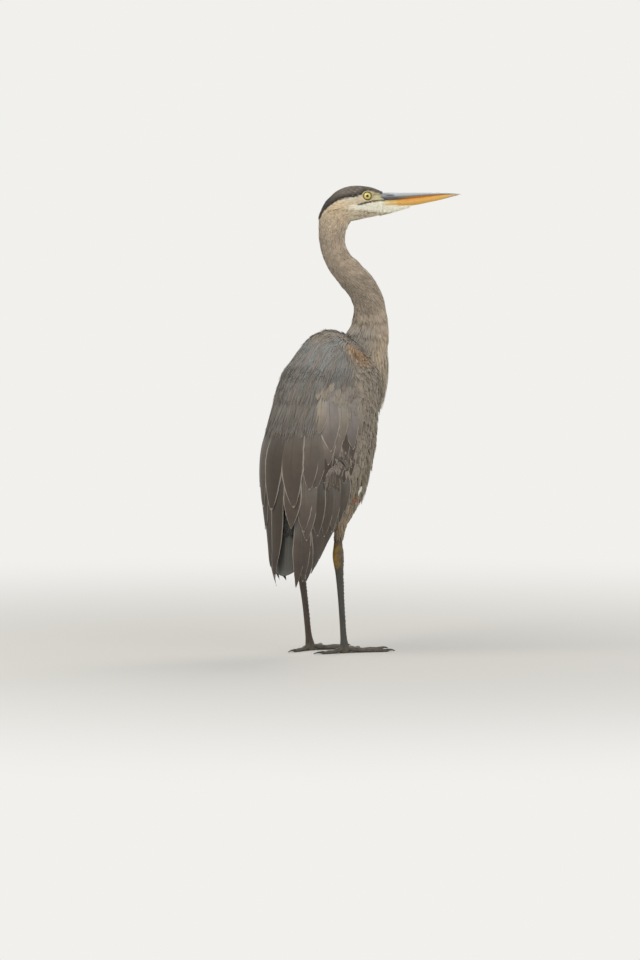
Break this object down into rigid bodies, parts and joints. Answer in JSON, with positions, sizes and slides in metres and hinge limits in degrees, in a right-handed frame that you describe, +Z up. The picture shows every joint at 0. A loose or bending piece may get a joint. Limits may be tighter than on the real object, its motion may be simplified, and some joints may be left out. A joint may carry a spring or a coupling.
{
  "type": "great blue heron model",
  "caption": "Life-size still model of a long-legged wading bird in young plumage, upright, wings folded, neck in an S and head turned to its right.",
  "frame": {"origin": "on the floor, under the middle of the bird's bounding box", "axes": "+X the way the breast faces, +Y the bird's left, +Z up"},
  "size_m": [0.3444, 0.2212, 0.8384],
  "materials": {
    "belly_feathers": "soft brown-grey contour feathers with darker streaks and pale edges",
    "back_feathers": "fine hair-like grey feathers with a brown cast, rusty at the bend of the wing",
    "covert_feathers": "broad grey-brown coverts with thin pale edges",
    "flight_feathers": "smooth dark slate-brown vanes",
    "primary_feathers": "smooth dark brown vanes",
    "tail_feathers": "smooth blue-grey vanes",
    "breast_feathers": "long buff feathers with dark streaks",
    "neck_feathers": "short velvety taupe feathers, mottled browner in front",
    "head_feathers": "short feathers: dark slate crown, pale cheek and white chin",
    "upper_bill_horn": "satin grey horn with a pale blue ridge and a dark edge",
    "lower_bill_horn": "satin orange-yellow horn",
    "leg_skin": "dry scaled skin, grey-olive with an ochre heel",
    "claw_horn": "dark horn",
    "eye": "wet yellow iris round a black pupil"
  },
  "bodies": {
    "root": {"trunk": "belly_feathers", "mantle": "back_feathers", "tail": "tail_feathers", "breast_plumes": "breast_feathers", "neck_lower": "neck_feathers", "neck_middle": "neck_feathers", "neck_upper": "neck_feathers", "head": "head_feathers", "bill_upper": "upper_bill_horn", "bill_lower": "lower_bill_horn", "eye_left": "eye", "eye_right": "eye", "wing_left_coverts": "covert_feathers", "wing_left_secondaries": "flight_feathers", "wing_left_primaries": "primary_feathers", "thigh_left": "belly_feathers", "shin_left": "leg_skin", "toe_inner_left": "leg_skin", "claw_inner_left": "claw_horn", "toe_middle_left": "leg_skin", "claw_middle_left": "claw_horn", "toe_outer_left": "leg_skin", "claw_outer_left": "claw_horn", "toe_hind_left": "leg_skin", "claw_hind_left": "claw_horn", "wing_right_coverts": "covert_feathers", "wing_right_secondaries": "flight_feathers", "wing_right_primaries": "primary_feathers", "thigh_right": "belly_feathers", "shin_right": "leg_skin", "toe_inner_right": "leg_skin", "claw_inner_right": "claw_horn", "toe_middle_right": "leg_skin", "claw_middle_right": "claw_horn", "toe_outer_right": "leg_skin", "claw_outer_right": "claw_horn", "toe_hind_right": "leg_skin", "claw_hind_right": "claw_horn"}
  },
  "joints": []
}
